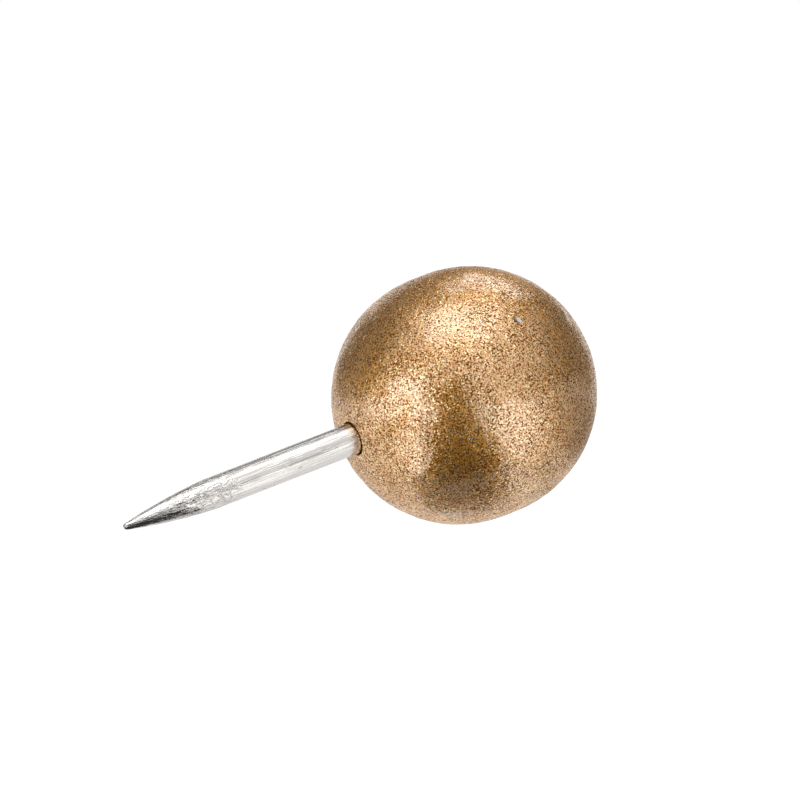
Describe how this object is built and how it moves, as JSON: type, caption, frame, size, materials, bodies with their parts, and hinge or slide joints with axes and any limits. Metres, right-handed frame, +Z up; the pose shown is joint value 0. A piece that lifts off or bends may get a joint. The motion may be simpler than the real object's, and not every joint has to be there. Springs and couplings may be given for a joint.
{
  "type": "push pin",
  "caption": "Ball-headed push pin: a bronze-lacquered ball glued on a bright, pointed steel needle that is pushed into a board to hold paper.",
  "frame": {"origin": "on the table that the pin lies on, below the middle of its length", "axes": "+X along the table from the needle's tip towards the ball, +Z up from the table"},
  "size_m": [0.0192, 0.0094, 0.0097],
  "materials": {
    "bronze_lacquer": "satin",
    "bright_steel": "polished",
    "adhesive": "gloss"
  },
  "bodies": {
    "root": {"ball_head": "bronze_lacquer", "needle": "bright_steel", "glue_bond": "adhesive"}
  },
  "joints": []
}
